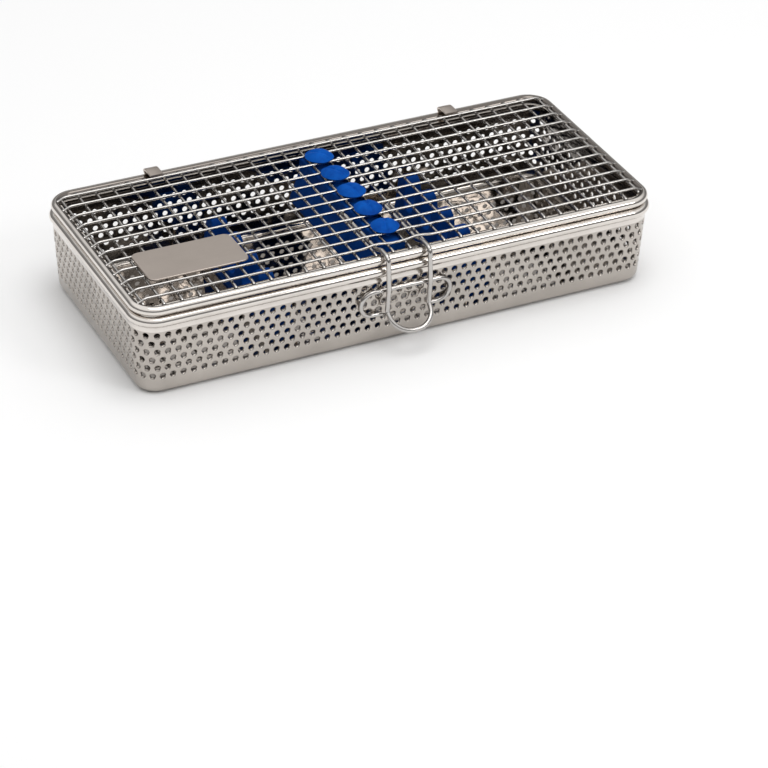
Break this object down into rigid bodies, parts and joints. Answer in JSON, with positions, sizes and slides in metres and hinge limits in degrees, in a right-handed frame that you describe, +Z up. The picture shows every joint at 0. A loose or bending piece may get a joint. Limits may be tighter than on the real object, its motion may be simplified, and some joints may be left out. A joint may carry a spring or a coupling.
{
  "type": "dental instrument cassette",
  "caption": "Perforated steel instrument tray with a hinged wire-mesh lid, silicone racks and hold-down, and a sprung wire latch.",
  "frame": {"origin": "centre of the flat face that the tray stands on", "axes": "+X along the instruments, to the right of someone who faces the latch; -Y towards the latch; +Z up"},
  "size_m": [0.1826, 0.0954, 0.0356],
  "materials": {
    "sheet_steel": "electropolished",
    "wire_steel": "polished",
    "label_steel": "satin, fine brushed",
    "silicone": "matte"
  },
  "bodies": {
    "base": {"tray_floor": "sheet_steel", "tray_foot_bend": "sheet_steel", "tray_front_wall": "sheet_steel", "tray_back_wall": "sheet_steel", "tray_left_wall": "sheet_steel", "tray_right_wall": "sheet_steel", "tray_corners": "sheet_steel", "tray_rim": "sheet_steel", "catch_wire": "wire_steel", "left_hinge_bracket": "silicone", "right_hinge_bracket": "silicone", "left_hinge_pin": "wire_steel", "right_hinge_pin": "wire_steel", "left_rack_rail": "sheet_steel", "right_rack_rail": "sheet_steel", "left_rack": "silicone", "right_rack": "silicone"},
    "lid": {"lid_frame": "sheet_steel", "lid_cross_wires": "wire_steel", "lid_long_wires": "wire_steel", "label_plate": "label_steel", "left_hinge_strap": "sheet_steel", "right_hinge_strap": "sheet_steel", "hold_down_bar": "silicone", "hold_down_knobs": "silicone", "latch_arms": "wire_steel"},
    "latch": {"latch_loop": "wire_steel"}
  },
  "joints": [
    {"name": "lid_hinge", "type": "hinge", "parent": "base", "child": "lid", "pos_m": [0, 0.0435, 0.022], "axis": [-1, 0, 0], "range_deg": [0, 180]},
    {"name": "latch_spring", "type": "hinge", "parent": "lid", "child": "latch", "pos_m": [0, -0.0391, 0.0331], "axis": [-1, 0, 0], "range_deg": [0, 8], "stiffness_Nm_per_rad": 0.2}
  ]
}
